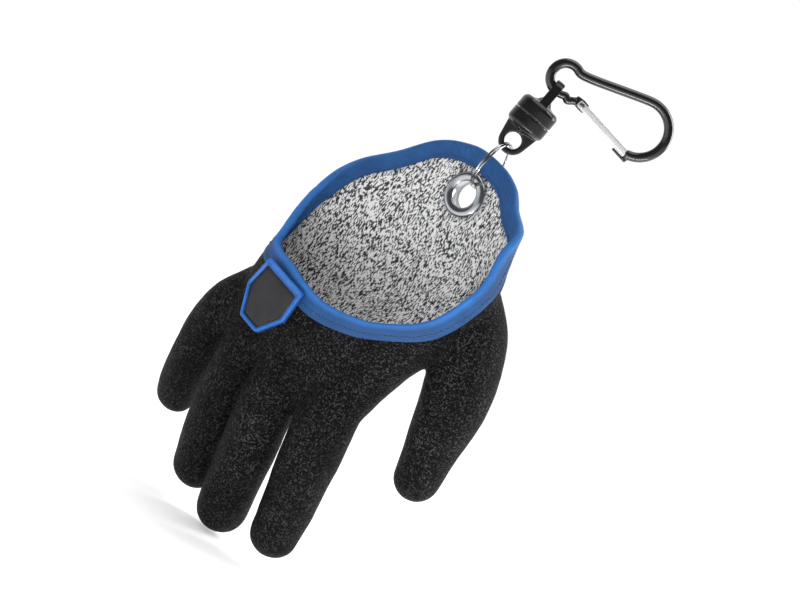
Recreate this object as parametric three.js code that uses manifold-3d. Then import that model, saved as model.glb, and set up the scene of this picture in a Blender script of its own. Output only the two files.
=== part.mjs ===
// Fishing glove: a latex-coated knitted glove with a bound hem, a label patch, a grommet,
// a split ring, a magnetic release clip and a carabiner. Sizes are millimetres and degrees.
// The origin is the middle of the wrist opening. +Z runs up the forearm, the fingers point
// down, the back of the hand faces -Y and the thumb side is +X.
import * as THREE from 'three';
import { mergeVertices } from 'three/addons/utils/BufferGeometryUtils.js';
import Module from 'manifold-3d';

const wasm = await Module();
wasm.setup();

const { abs, atan2, cos, hypot, max, min, PI, sign, sin } = Math;
const rad = THREE.MathUtils.degToRad;
const vec = (x, y, z) => new THREE.Vector3(x, y, z);

// Driving sizes of the glove. tape.fold is the air under the tape's folded edge, tape.bulge lifts
// the middle of its sides, and bendPace adds stations where the hem bends.
const palm = { width: 111, depth: 50, length: 98, fullness: 2.25, webTilt: 0.17 };
const finger = { reach: 175, girth: 27, flatness: 0.96 };
const hem = { tongue: 51, scoop: 47 };
const cloth = { latex: 1.0, knit: 1.0, gap: 0.3 };
const tape = { thickness: 1.1, outside: 9, inside: 8, gap: 0.6, fold: 1.4, bulge: 0.25, stations: 48, bendPace: 22 };

// Driving sizes of the patch and the grommet
const label = { width: 31, height: 30, base: 0.9, field: 0.6, raised: 0.6, rim: 2.0, topRim: 3.0, gap: 0.3 };
const eyelet = { bore: 6.6, tube: 0.8, flange: 11.4, crown: 1.7, lip: 0.9, washer: 1.0, gap: 0.3 };

// Driving sizes of the split ring and the two halves of the clip
const ring = { radius: 13.4, wire: 1.05, coilGap: 0.25, slack: 1.15 };
const clip = { radius: 10, half: 7.4, shoulder: 1.6, seam: 0.3, earWidth: 17.6, bevel: 0.5 };
const lowerEar = { hole: 4.1, end: 7.0, reach: 14.2, plate: 4.2 };
const upperEar = { hole: 3.1, end: 5.2, reach: 16.2, plate: 4.6 };

// Driving sizes of the carabiner: span and rise run from the middle of its eye to its bow
const hook = { wire: 4.4, bow: 13.7, eye: 7.3, span: 42, rise: 4.8, gap: 0.6 };
const gate = { wire: 3.6, ahead: 14.2, above: 2.6, gap: 0.4, tongue: 1.4, tongueHeight: 6.2, pin: 0.8, lip: 1.4 };

// Where the hardware hangs and where the patch is sewn
const grommetAt = { turn: 88, height: 30 };
const chain = { yaw: 28, lean: 7.5, ringYaw: -17.6 };
const labelAt = { turn: -111, drop: 18, tilt: -8 };

const wall = cloth.latex + cloth.gap + cloth.knit;

// Cross sections of the palm from the webs up to the top of the tongue. level is a share of
// palm.length, middle and across are shares of palm.width, forward and thick of palm.depth.
const palmSections = [
  { level: -1.00, middle: -0.17, across: 0.28, forward: 0.03, thick: 0.07, twist: 0 },
  { level: -0.96, middle: -0.17, across: 0.38, forward: 0.03, thick: 0.18, twist: 0 },
  { level: -0.88, middle: -0.165, across: 0.435, forward: 0.03, thick: 0.27, twist: 0 },
  { level: -0.72, middle: -0.128, across: 0.430, forward: 0.02, thick: 0.36, twist: 0 },
  { level: -0.52, middle: -0.085, across: 0.455, forward: 0.01, thick: 0.42, twist: 0 },
  { level: -0.30, middle: -0.0250, across: 0.4865, forward: 0.00, thick: 0.47, twist: 0 },
  { level: 0.00, middle: -0.004, across: 0.503, forward: 0.00, thick: 0.50, twist: 0 },
  { level: 0.25, middle: -0.020, across: 0.475, forward: 0.00, thick: 0.50, twist: -5 },
  { level: 0.70, middle: -0.010, across: 0.450, forward: 0.00, thick: 0.50, twist: -10 },
];

// Height of the hem round the opening: turn 0 is the thumb side, 90 the palm, 270 the back.
// rise is a share of hem.tongue above the origin and of hem.scoop below it.
const hemRises = [
  { turn: -102, rise: -0.965 },
  { turn: -90, rise: -1.00 },
  { turn: -69, rise: -0.92 },
  { turn: -52, rise: -0.75 },
  { turn: -35, rise: -0.52 },
  { turn: -28, rise: -0.34 },
  { turn: -21, rise: -0.11 },
  { turn: -14, rise: 0.11 },
  { turn: -6, rise: 0.30 },
  { turn: 4, rise: 0.46 },
  { turn: 22, rise: 0.59 },
  { turn: 50, rise: 0.72 },
  { turn: 65, rise: 0.885 },
  { turn: 80, rise: 0.97 },
  { turn: 94, rise: 1.00 },
  { turn: 108, rise: 0.945 },
  { turn: 120, rise: 0.84 },
  { turn: 138, rise: 0.54 },
  { turn: 158, rise: 0.28 },
  { turn: 176, rise: -0.07 },
  { turn: 194, rise: -0.53 },
  { turn: 206, rise: -0.79 },
  { turn: 222, rise: -0.855 },
  { turn: 241, rise: -0.89 },
  { turn: 258, rise: -0.965 },
  { turn: 270, rise: -1.00 },
  { turn: 291, rise: -0.92 },
];

// Centre lines of the fingers from the root inside the palm to the middle of the round tip.
// across is a share of palm.width, forward of palm.depth, down of finger.reach and girth of
// finger.girth.
const fingers = {
  index: [
    { across: 0.110, forward: 0.00, down: 0.31, girth: 0.85 },
    { across: 0.163, forward: -0.02, down: 0.54, girth: 1.10 },
    { across: 0.181, forward: 0.08, down: 0.70, girth: 1.03 },
    { across: 0.179, forward: 0.24, down: 0.83, girth: 0.93 },
    { across: 0.174, forward: 0.31, down: 0.888, girth: 0.88 },
  ],
  middle: [
    { across: -0.100, forward: 0.00, down: 0.31, girth: 0.85 },
    { across: -0.124, forward: -0.05, down: 0.54, girth: 1.04 },
    { across: -0.110, forward: 0.04, down: 0.70, girth: 1.02 },
    { across: -0.124, forward: 0.27, down: 0.87, girth: 0.97 },
    { across: -0.134, forward: 0.38, down: 0.935, girth: 0.92 },
  ],
  ring: [
    { across: -0.290, forward: 0.00, down: 0.31, girth: 0.80 },
    { across: -0.350, forward: -0.01, down: 0.53, girth: 0.96 },
    { across: -0.366, forward: 0.15, down: 0.71, girth: 0.94 },
    { across: -0.378, forward: 0.37, down: 0.85, girth: 0.88 },
    { across: -0.379, forward: 0.45, down: 0.895, girth: 0.85 },
  ],
  little: [
    { across: -0.405, forward: 0.02, down: 0.27, girth: 0.66 },
    { across: -0.592, forward: 0.08, down: 0.475, girth: 0.90 },
    { across: -0.640, forward: 0.24, down: 0.63, girth: 0.87 },
    { across: -0.672, forward: 0.42, down: 0.735, girth: 0.81 },
    { across: -0.681, forward: 0.49, down: 0.767, girth: 0.78 },
  ],
  thumb: [
    { across: 0.280, forward: 0.16, down: -0.02, girth: 0.92 },
    { across: 0.455, forward: 0.31, down: 0.140, girth: 1.28 },
    { across: 0.540, forward: 0.31, down: 0.285, girth: 1.23 },
    { across: 0.560, forward: 0.37, down: 0.42, girth: 0.98 },
    { across: 0.566, forward: 0.45, down: 0.53, girth: 0.82 },
  ],
};

// A smooth value from one column of a table. It passes through the rows without overshoot.
function fromTable(rows, by, column, at) {
  const last = rows.length - 1;
  const here = min(max(at, rows[0][by]), rows[last][by]);
  let low = 0;
  while (low < last - 1 && here > rows[low + 1][by]) {
    low += 1;
  }
  const step = (k) => rows[k + 1][by] - rows[k][by];
  const gradient = (k) => (rows[k + 1][column] - rows[k][column]) / step(k);
  const slope = (k) => {
    if (k === 0 || k === last) {
      return gradient(min(k, last - 1));
    }
    const before = gradient(k - 1);
    const after = gradient(k);
    return before * after > 0 ? (2 * before * after) / (before + after) : 0;
  };
  const t = (here - rows[low][by]) / step(low);
  const blend = t * t * (3 - 2 * t);
  const start = slope(low) * step(low);
  const end = slope(low + 1) * step(low);
  return rows[low][column] * (1 - blend) + rows[low + 1][column] * blend
    + start * t * (1 - t) ** 2 - end * t * t * (1 - t);
}

// A closed solid through rings of points, with a fan to a pole at each end.
function loft(rings, firstPole, lastPole) {
  const count = rings[0].length;
  const points = [...rings.flat(), firstPole, lastPole];
  const first = points.length - 2;
  const last = points.length - 1;
  const faces = [];
  for (let k = 0; k < count; k += 1) {
    const next = (k + 1) % count;
    faces.push(first, next, k);
    for (let row = 0; row < rings.length - 1; row += 1) {
      const a = row * count;
      const b = a + count;
      faces.push(a + k, a + next, b + next, a + k, b + next, b + k);
    }
    const end = (rings.length - 1) * count;
    faces.push(last, end + k, end + next);
  }
  return solidGeometry(points, faces);
}

// A closed solid swept round a loop of rings, the last ring joined to the first.
function sweepRound(rings) {
  const count = rings[0].length;
  const faces = [];
  for (let row = 0; row < rings.length; row += 1) {
    const a = row * count;
    const b = ((row + 1) % rings.length) * count;
    for (let k = 0; k < count; k += 1) {
      const next = (k + 1) % count;
      faces.push(a + k, a + next, b + next, a + k, b + next, b + k);
    }
  }
  return solidGeometry(rings.flat(), faces);
}

// An indexed geometry whose faces look outwards whichever way its rings ran.
function solidGeometry(points, faces) {
  let volume = 0;
  for (let i = 0; i < faces.length; i += 3) {
    const [a, b, c] = [points[faces[i]], points[faces[i + 1]], points[faces[i + 2]]];
    volume += a.dot(b.clone().cross(c));
  }
  const outward = volume > 0 ? faces : faces.slice().reverse();
  const geometry = new THREE.BufferGeometry().setFromPoints(points);
  geometry.setIndex(outward);
  geometry.computeVertexNormals();
  return geometry;
}

// Meshes to closed solids and back
function toSolid(geometry) {
  const bare = geometry.clone();
  bare.deleteAttribute('normal');
  bare.deleteAttribute('uv');
  const merged = mergeVertices(bare, 1e-4);
  return new wasm.Manifold(new wasm.Mesh({
    numProp: 3,
    vertProperties: new Float32Array(merged.attributes.position.array),
    triVerts: new Uint32Array(merged.index.array),
  }));
}

function toGeometry(solid) {
  const mesh = solid.getMesh();
  const geometry = new THREE.BufferGeometry();
  geometry.setAttribute('position', new THREE.BufferAttribute(mesh.vertProperties, 3));
  geometry.setIndex(new THREE.BufferAttribute(mesh.triVerts, 1));
  geometry.computeVertexNormals();
  return geometry;
}

const join = (parts) => parts.map(toSolid).reduce((sum, part) => sum.add(part));

// Height of the hem at one turn
function hemHeight(turn) {
  const wrapped = -90 + ((((turn + 90) % 360) + 360) % 360);
  const rise = fromTable(hemRises, 'turn', 'rise', wrapped);
  return rise > 0 ? rise * hem.tongue : rise * hem.scoop;
}

// A point of the palm's surface, moved inwards by inset
function palmPoint(turn, height, inset) {
  const level = height / palm.length;
  const value = (column) => fromTable(palmSections, 'level', column, level);
  const halfWidth = value('across') * palm.width;
  const halfDepth = value('thick') * palm.depth;
  const twist = rad(value('twist'));
  const share = (part) => sign(part) * abs(part) ** (2 / palm.fullness);
  const lean = (part, half) => (sign(part) * abs(part) ** (palm.fullness - 1)) / half;
  const across = share(cos(rad(turn)));
  const along = share(sin(rad(turn)));
  const normal = new THREE.Vector2(lean(across, halfWidth), lean(along, halfDepth)).normalize();
  const x = halfWidth * across - inset * normal.x;
  const y = halfDepth * along - inset * normal.y;
  const nearWebs = max(0, (-level - 0.55) / 0.45);
  return vec(
    value('middle') * palm.width + x * cos(twist) - y * sin(twist),
    value('forward') * palm.depth + x * sin(twist) + y * cos(twist),
    height - palm.webTilt * nearWebs * x,
  );
}

// The outward direction of the palm's surface, square to the wall
function palmNormal(turn, height) {
  return palmPoint(turn, height, 0).sub(palmPoint(turn, height, 1)).normalize();
}

const columns = 36;
const palmRows = [0, 0.08, 0.18, 0.35, 0.54, 0.72, 0.86, 0.94, 0.985];

// The palm as a solid. An open one stands above the hem, so that it cuts the mouth free.
function palmBody(inset, open) {
  const floor = -palm.length + 2.5 * inset;
  const turns = Array.from({ length: columns }, (_, k) => (k * 360) / columns);
  const mouthRise = 60;
  const mouth = turns.map((turn) => (open
    ? palmPoint(turn, hemHeight(turn) + mouthRise, inset)
    : palmPoint(turn, hemHeight(turn), inset + wall + 1)));
  const rings = palmRows.map((row) => turns.map((turn) => {
    const top = hemHeight(turn);
    return palmPoint(turn, top + (floor - top) * row, inset);
  }));
  const lid = vec(0, 0, open ? 2 * mouthRise : 0);
  const middle = palmSections[0].middle * palm.width;
  return loft([mouth, ...rings], lid, vec(middle, 0, floor - palm.webTilt * middle * 0.1));
}

// One finger as a tube of rings along its centre line, closed by a round tip
function fingerBody(rows, inset) {
  const path = new THREE.CatmullRomCurve3(rows.map((row) => vec(
    row.across * palm.width,
    row.forward * palm.depth,
    -row.down * finger.reach,
  )), false, 'centripetal');
  const stations = rows.map((row, k) => ({ ...row, at: k / (rows.length - 1) }));
  const sides = 10;
  const ringAt = (t, ahead, swell) => {
    const forward = path.getTangent(t);
    const side = forward.clone().cross(vec(0, 1, 0)).normalize();
    const front = side.clone().cross(forward);
    const radius = (fromTable(stations, 'at', 'girth', t) * finger.girth) / 2 - inset;
    const centre = path.getPoint(t).addScaledVector(forward, ahead * radius);
    return Array.from({ length: sides }, (_, k) => {
      const turn = (2 * PI * k) / sides;
      return centre.clone()
        .addScaledVector(side, radius * swell * cos(turn))
        .addScaledVector(front, radius * swell * finger.flatness * sin(turn));
    });
  };
  const shaft = [0, 0.25, 0.5, 0.78].map((t) => ringAt(t, 0, 1));
  const tip = [0, 32, 62].map((dome) => ringAt(1, sin(rad(dome)), cos(rad(dome))));
  const end = ringAt(1, 1, 0)[0];
  return loft([...shaft, ...tip], path.getPoint(0), end);
}

function handBody(inset, open) {
  return join([palmBody(inset, open), ...Object.values(fingers).map((rows) => fingerBody(rows, inset))]);
}

// The grommet's seat on the tongue
const seatNormal = palmNormal(grommetAt.turn, grommetAt.height);
const seatMiddle = palmPoint(grommetAt.turn, grommetAt.height, wall / 2);
const seatTurn = new THREE.Quaternion().setFromUnitVectors(vec(0, 1, 0), seatNormal.clone().negate());
const tubeRadius = eyelet.bore + eyelet.tube;

// How far the curved wall bows away from a flat flange of this radius
function wallBow(radius) {
  const centre = palmPoint(grommetAt.turn, grommetAt.height, 0);
  const turns = [-1, 1].map((way) => grommetAt.turn + (way * radius * 360) / (PI * palm.width));
  const bows = turns.map((turn) => abs(
    palmPoint(turn, grommetAt.height, 0).sub(centre).dot(seatNormal),
  ));
  return max(...bows);
}

// One layer of the glove between two insets, with the grommet's hole
function gloveLayer(outerInset, innerInset) {
  const clearance = tubeRadius + eyelet.gap;
  const hole = new THREE.CylinderGeometry(clearance, clearance, 8 * wall, 24);
  hole.applyQuaternion(seatTurn);
  hole.translate(seatMiddle.x, seatMiddle.y, seatMiddle.z);
  const layer = handBody(outerInset, false).subtract(handBody(innerInset, true)).subtract(toSolid(hole));
  return toGeometry(layer);
}

// The hem line unrolled into a plane of distance round the opening and height
const unrolled = [];
for (let turn = -90, length = 0, before = null; turn <= 270; turn += 1) {
  const at = palmPoint(turn, 0, 0);
  length += before ? at.distanceTo(before) : 0;
  before = at;
  unrolled.push({ turn, length });
}
const girth = unrolled[unrolled.length - 1].length;

function turnAt(length) {
  const wrapped = ((length % girth) + girth) % girth;
  return fromTable(unrolled, 'length', 'turn', wrapped);
}

const hemLine = unrolled.map(({ turn, length }) => new THREE.Vector2(length, hemHeight(turn)));
const hemNormals = unrolled.map(({ turn }) => palmNormal(turn, hemHeight(turn)));

// The pace of each step along the hem: its length, and more where the palm bends sharply
const runs = hemLine.slice(1).map((point, k) => (
  point.distanceTo(hemLine[k]) + tape.bendPace * hemNormals[k + 1].angleTo(hemNormals[k])
));
const wholeRun = runs.reduce((sum, run) => sum + run);

// A point in from the hem by depth, square to the hem's edge, on the surface at inset
function hemPoint(share, depth, inset) {
  let left = share * wholeRun;
  let k = 0;
  while (k < runs.length - 1 && left > runs[k]) {
    left -= runs[k];
    k += 1;
  }
  const at = hemLine[k].clone().lerp(hemLine[k + 1], left / runs[k]);
  const reach = 6;
  const before = hemLine[max(0, k - reach)];
  const after = hemLine[min(hemLine.length - 1, k + 1 + reach)];
  const edge = after.clone().sub(before).normalize();
  const inward = new THREE.Vector2(edge.y, -edge.x);
  at.addScaledVector(inward, depth);
  return palmPoint(turnAt(at.x), at.y, inset);
}

// The binding tape: one strip folded over both layers, as a closed section of depth and inset
function bindingGeometry() {
  const outside = -tape.gap;
  const inside = wall + tape.gap;
  const face = outside - tape.thickness;
  const back = inside + tape.thickness;
  const fold = -tape.fold - tape.thickness;
  const section = [
    [tape.outside, face],
    [tape.outside * 0.5, face - tape.bulge],
    [0, face],
    [fold * 0.75, face + tape.thickness * 0.4],
    [fold, 0],
    [fold, wall],
    [fold * 0.75, back - tape.thickness * 0.4],
    [0, back],
    [tape.inside * 0.5, back + tape.bulge],
    [tape.inside, back],
    [tape.inside, inside],
    [tape.inside * 0.5, inside + tape.bulge],
    [-tape.fold, inside],
    [-tape.fold, outside],
    [tape.outside * 0.5, outside - tape.bulge],
    [tape.outside, outside],
  ];
  const rings = Array.from({ length: tape.stations }, (_, k) => (
    section.map(([depth, inset]) => hemPoint(k / tape.stations, depth, inset))
  ));
  return sweepRound(rings);
}

// A closed lathe solid from pairs of radius and height
function turned(profile, segments) {
  const points = [...profile, profile[0]].map(([radius, height]) => new THREE.Vector2(radius, height));
  return toGeometry(toSolid(solidGeometryOf(new THREE.LatheGeometry(points, segments))));
}

// The same geometry with merged points and faces that look outwards
function solidGeometryOf(geometry) {
  const bare = geometry.clone();
  bare.deleteAttribute('normal');
  bare.deleteAttribute('uv');
  const merged = mergeVertices(bare, 1e-4);
  const place = merged.attributes.position;
  const points = Array.from({ length: place.count }, (_, k) => vec(place.getX(k), place.getY(k), place.getZ(k)));
  const index = Array.from(merged.index.array);
  const faces = [];
  for (let k = 0; k < index.length; k += 3) {
    const [a, b, c] = index.slice(k, k + 3);
    if (a !== b && b !== c && c !== a) {
      faces.push(a, b, c);
    }
  }
  return solidGeometry(points, faces);
}

// The front of the grommet: a crowned flange on the knit and a tube with a rolled lip
function grommetFront() {
  const seat = wall / 2 + eyelet.gap + wallBow(eyelet.flange);
  const lip = -wall / 2 - 2 * eyelet.gap - eyelet.washer;
  const middle = (eyelet.bore + eyelet.flange) / 2;
  return turned([
    [eyelet.bore, lip - 0.6],
    [tubeRadius + eyelet.lip, lip - 0.6],
    [tubeRadius + eyelet.lip, lip],
    [tubeRadius, lip],
    [tubeRadius, seat],
    [eyelet.flange - 0.5, seat],
    [eyelet.flange, seat + 0.5],
    [eyelet.flange - 1.0, seat + 0.8 * eyelet.crown],
    [middle, seat + eyelet.crown],
    [eyelet.bore + 1.0, seat + 0.8 * eyelet.crown],
    [eyelet.bore, seat + 0.4],
  ], 22);
}

// The washer on the latex side, under the rolled lip
function grommetWasher() {
  const seat = -wall / 2 - eyelet.gap;
  return turned([
    [tubeRadius + eyelet.gap, seat],
    [eyelet.flange - 0.8, seat],
    [eyelet.flange - 0.4, seat - 0.4 * eyelet.washer],
    [eyelet.flange - 1.2, seat - eyelet.washer],
    [tubeRadius + eyelet.gap, seat - eyelet.washer],
  ], 22);
}

// A round wire along a curve, with closed ends
function wireAlong(curve, radius, sides, steps) {
  const section = new THREE.Shape();
  for (let k = 0; k < sides; k += 1) {
    const turn = (2 * PI * k) / sides;
    section[k === 0 ? 'moveTo' : 'lineTo'](radius * cos(turn), radius * sin(turn));
  }
  return new THREE.ExtrudeGeometry(section, { steps, extrudePath: curve, bevelEnabled: false });
}

// Two coils of wire side by side, with the crossing step at the back
function splitRing() {
  const pitch = ring.wire + ring.coilGap;
  const coil = { turns: 650, stepFrom: 300, stepTo: 345, phase: 100, stations: 34 };
  const points = Array.from({ length: coil.stations + 1 }, (_, k) => {
    const turn = (coil.turns * k) / coil.stations;
    const step = THREE.MathUtils.smoothstep(turn, coil.stepFrom, coil.stepTo);
    const angle = rad(turn + coil.phase);
    return vec(pitch * (step - 0.5), ring.radius * sin(angle), ring.radius * cos(angle));
  });
  return wireAlong(new THREE.CatmullRomCurve3(points), ring.wire / 2, 6, coil.stations);
}

// One half of the clip, its flat magnet face at the origin and its ear up along +Z
function clipHalf(ear) {
  const { radius, half, shoulder, bevel } = clip;
  const flare = 0.6 * (ear.reach - ear.hole - half);
  const drum = turned([
    [0, 0],
    [radius, 0],
    [radius, half - shoulder],
    [radius - 0.3 * shoulder, half - 0.3 * shoulder],
    [radius - shoulder, half],
    [0.64 * radius, half],
    [0.42 * radius, half + 0.3 * flare],
    [0.5 * ear.plate, half + flare],
    [0, half + flare],
  ], 18).rotateX(PI / 2);
  const corner = clip.earWidth / 2;
  const root = half - shoulder;
  const toCorner = atan2(root - ear.reach, corner);
  const tangent = toCorner + Math.acos(ear.end / hypot(corner, ear.reach - root));
  const outline = new THREE.Shape();
  outline.moveTo(-corner, root);
  outline.lineTo(corner, root);
  outline.absarc(0, ear.reach, ear.end, tangent, PI - tangent, false);
  const hole = new THREE.Path();
  hole.absarc(0, ear.reach, ear.hole, 0, 2 * PI, true);
  outline.holes.push(hole);
  const plate = new THREE.ExtrudeGeometry(outline, {
    depth: ear.plate - 2 * bevel,
    bevelThickness: bevel,
    bevelSize: bevel,
    bevelOffset: -bevel,
    bevelSegments: 1,
    curveSegments: 7,
  });
  plate.translate(0, 0, bevel - ear.plate / 2).rotateX(PI / 2);
  return toGeometry(join([drum, plate]));
}

// Points round an arc in the XZ plane
function arcPoints(x, z, radius, from, to, count) {
  return Array.from({ length: count + 1 }, (_, k) => {
    const turn = rad(from + ((to - from) * k) / count);
    return vec(x + radius * cos(turn), 0, z + radius * sin(turn));
  });
}

// The carabiner lies in the XZ plane with the middle of its small eye at the origin
const pivot = vec(gate.ahead, 0, -hook.eye + gate.above);
const noseTurn = -77;
const nose = arcPoints(hook.span, hook.rise, hook.bow, noseTurn, noseTurn, 1)[0];
const gateDirection = nose.clone().sub(pivot).normalize();
const gateAngle = -atan2(gateDirection.z, gateDirection.x);

function carabinerBody() {
  const barAngle = atan2(hook.bow - hook.eye + hook.rise, hook.span) * (180 / PI);
  const points = [
    ...arcPoints(hook.span, hook.rise, hook.bow, noseTurn, 90 + barAngle, 14),
    vec(hook.eye * 0.82, 0, hook.eye * 0.92),
    ...arcPoints(0, 0, hook.eye, 64, 262, 12),
    vec(hook.eye * 0.45, 0, -hook.eye * 0.97),
    vec(pivot.x - gate.tongueHeight * 0.62, 0, pivot.z - gate.tongueHeight * 0.05),
  ];
  const wire = wireAlong(new THREE.CatmullRomCurve3(points), hook.wire / 2, 8, 34);
  const half = gate.tongueHeight / 2;
  const outline = new THREE.Shape();
  outline.moveTo(-half - 1.6, -half * 0.7);
  outline.lineTo(-1, -half);
  outline.lineTo(half, -half * 0.9);
  outline.lineTo(half + 0.8, 0);
  outline.lineTo(half, half * 0.9);
  outline.lineTo(-1, half);
  outline.lineTo(-half - 1.6, half * 0.7);
  const tongue = new THREE.ExtrudeGeometry(outline, { depth: gate.tongue, bevelEnabled: false });
  tongue.translate(0, 0, -gate.tongue / 2).rotateX(PI / 2).rotateY(gateAngle);
  tongue.translate(pivot.x, 0, pivot.z);
  const below = gate.wire / 2 + gate.gap + gate.lip / 2;
  const lip = new THREE.BoxGeometry(7.5, 3.2, gate.lip);
  lip.translate(-3, 0, -below).rotateY(gateAngle).translate(nose.x, 0, nose.z);
  const block = new THREE.BoxGeometry(2.4, 3.2, below + gate.lip / 2);
  block.translate(1.0, 0, -(below + gate.lip / 2) / 2).rotateY(gateAngle).translate(nose.x, 0, nose.z);
  const pinHole = pivotCylinder(gate.pin + 0.3, 2 * hook.wire);
  return toGeometry(join([wire, tongue, lip, block]).subtract(toSolid(pinHole)));
}

// A cylinder across the gate's pivot
function pivotCylinder(radius, length) {
  return new THREE.CylinderGeometry(radius, radius, length, 12).translate(pivot.x, 0, pivot.z);
}

// The gate: a rod whose slotted heel straddles the body's tongue
function carabinerGate() {
  const heel = 2.2;
  const length = nose.distanceTo(pivot) - gate.gap - 0.8;
  const rod = new THREE.CylinderGeometry(gate.wire / 2, gate.wire / 2, length + heel, 12);
  rod.rotateZ(-PI / 2).translate((length - heel) / 2, 0, 0);
  const slotEnd = gate.tongueHeight / 2 + 2.6;
  const slot = new THREE.BoxGeometry(slotEnd + 2 * heel, gate.tongue + 2 * 0.3, 2 * gate.wire);
  slot.translate((slotEnd - 2 * heel) / 2, 0, 0);
  const body = toSolid(rod).subtract(toSolid(slot));
  const placed = toGeometry(body).rotateY(gateAngle).translate(pivot.x, 0, pivot.z);
  return toGeometry(toSolid(placed).subtract(toSolid(pivotCylinder(gate.pin + 0.3, 2 * hook.wire))));
}

// The rivet through the gate's cheeks, with a low head at each side
function gateRivet() {
  const reach = gate.wire / 2 + 0.3;
  const head = 0.4;
  return turned([
    [0, -reach - head],
    [gate.pin + 0.5, -reach - head],
    [gate.pin + 0.5, -reach],
    [gate.pin, -reach],
    [gate.pin, reach],
    [gate.pin + 0.5, reach],
    [gate.pin + 0.5, reach + head],
    [0, reach + head],
  ], 12).translate(pivot.x, 0, pivot.z);
}

// The patch's outline, shrunk evenly by inset, with a wider strip left along the sewn top
function labelOutline(inset, top) {
  const { width, height } = label;
  const outline = new THREE.Shape();
  outline.moveTo(-0.46 * width + inset, 0.5 * height - top);
  outline.lineTo(-0.5 * width + inset, -0.04 * height);
  outline.lineTo(-0.22 * width + 0.4 * inset, -0.5 * height + inset);
  outline.lineTo(0.22 * width - 0.4 * inset, -0.5 * height + inset);
  outline.lineTo(0.5 * width - inset, -0.04 * height);
  outline.lineTo(0.46 * width - inset, 0.5 * height - top);
  outline.closePath();
  return outline;
}

const labelSlab = (inset, top, from, depth) => new THREE.ExtrudeGeometry(
  labelOutline(inset, top),
  { depth, bevelEnabled: false },
).translate(0, 0, from);

function labelRim() {
  const pocket = label.gap + label.field + label.raised;
  const slab = toSolid(labelSlab(0, 0, 0, label.base + pocket));
  return toGeometry(slab.subtract(toSolid(labelSlab(label.rim, label.topRim, label.base, pocket + 1))));
}

function labelField() {
  const gap = label.gap;
  return labelSlab(label.rim + gap, label.topRim + gap, label.base + gap, label.field);
}

// The patch lies flat on the binding: it is lifted until it clears the curved tape
function placeLabel(group) {
  const height = hemHeight(labelAt.turn) - labelAt.drop;
  const cover = -tape.gap - tape.thickness;
  const normal = palmNormal(labelAt.turn, height);
  const centre = palmPoint(labelAt.turn, height, cover);
  const lifts = [];
  for (let turn = -25; turn <= 25; turn += 5) {
    for (let rise = -0.5; rise <= 0.5; rise += 0.25) {
      const point = palmPoint(labelAt.turn + turn, height + rise * label.height, cover);
      lifts.push(point.sub(centre).dot(normal));
    }
  }
  const side = vec(-normal.y, normal.x, 0).normalize();
  const up = normal.clone().cross(side);
  group.quaternion.setFromRotationMatrix(new THREE.Matrix4().makeBasis(side, up, normal));
  group.rotateZ(rad(labelAt.tilt));
  group.position.copy(centre).addScaledVector(normal, max(...lifts) + label.gap);
}

// Finishes
const finish = (color, roughness, metalness) => new THREE.MeshStandardMaterial({ color, roughness, metalness });
const looks = {
  latex: finish(0x1b1b1c, 0.85, 0),
  knit: finish(0x9a9a98, 0.9, 0),
  tape: finish(0x1e6fd0, 0.75, 0),
  rubber: finish(0x1b6fd8, 0.5, 0),
  dark: finish(0x2c2c2e, 0.6, 0),
  steel: finish(0xc9ccd0, 0.25, 1),
  plastic: finish(0x0d0d0e, 0.2, 0),
  black: finish(0x0b0b0c, 0.18, 0.4),
};

// Scene graph
const glove = new THREE.Group();

function addNode(parent, name, geometry, material) {
  const mesh = new THREE.Mesh(geometry, material);
  mesh.name = name;
  parent.add(mesh);
  return mesh;
}

addNode(glove, 'latex_shell', gloveLayer(0, cloth.latex), looks.latex);
addNode(glove, 'knit_liner', gloveLayer(cloth.latex + cloth.gap, wall), looks.knit);
addNode(glove, 'hem_binding', bindingGeometry(), looks.tape);

const patch = new THREE.Group();
placeLabel(patch);
addNode(patch, 'label_rim', labelRim(), looks.rubber);
addNode(patch, 'label_field', labelField(), looks.dark);
glove.add(patch);

const seat = new THREE.Group();
seat.position.copy(seatMiddle);
seat.quaternion.copy(seatTurn);
addNode(seat, 'grommet_front', grommetFront(), looks.steel);
addNode(seat, 'grommet_washer', grommetWasher(), looks.steel);
glove.add(seat);

// The chain's origin is the ring wire in the grommet, its +Z runs up the chain
const drop = new THREE.Group();
drop.position.copy(seatMiddle).z += eyelet.bore - ring.slack - ring.wire / 2;
drop.rotation.set(0, rad(chain.lean), rad(chain.yaw), 'ZYX');
glove.add(drop);

const splitRingMesh = addNode(drop, 'split_ring', splitRing(), looks.steel);
splitRingMesh.position.z = ring.radius;
splitRingMesh.rotation.z = rad(chain.ringYaw);

const lowerHole = 2 * ring.radius + lowerEar.hole - ring.wire / 2 - ring.slack;
const lowerHalf = addNode(drop, 'clip_lower_half', clipHalf(lowerEar), looks.plastic);
lowerHalf.position.z = lowerHole + lowerEar.reach;
lowerHalf.rotation.x = PI;

const upperHalf = addNode(drop, 'clip_upper_half', clipHalf(upperEar), looks.plastic);
upperHalf.position.z = lowerHalf.position.z + clip.seam;
upperHalf.rotation.z = PI / 2;

const carabiner = new THREE.Group();
carabiner.position.z = upperHalf.position.z + upperEar.reach + upperEar.hole - hook.wire / 2 - hook.gap + hook.eye;
addNode(carabiner, 'carabiner_body', carabinerBody(), looks.black);
addNode(carabiner, 'carabiner_gate', carabinerGate(), looks.steel);
addNode(carabiner, 'gate_rivet', gateRivet(), looks.steel);
drop.add(carabiner);

export default glove;
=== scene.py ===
import math

import bpy
import numpy as np
from mathutils import Matrix, Vector, noise


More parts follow.
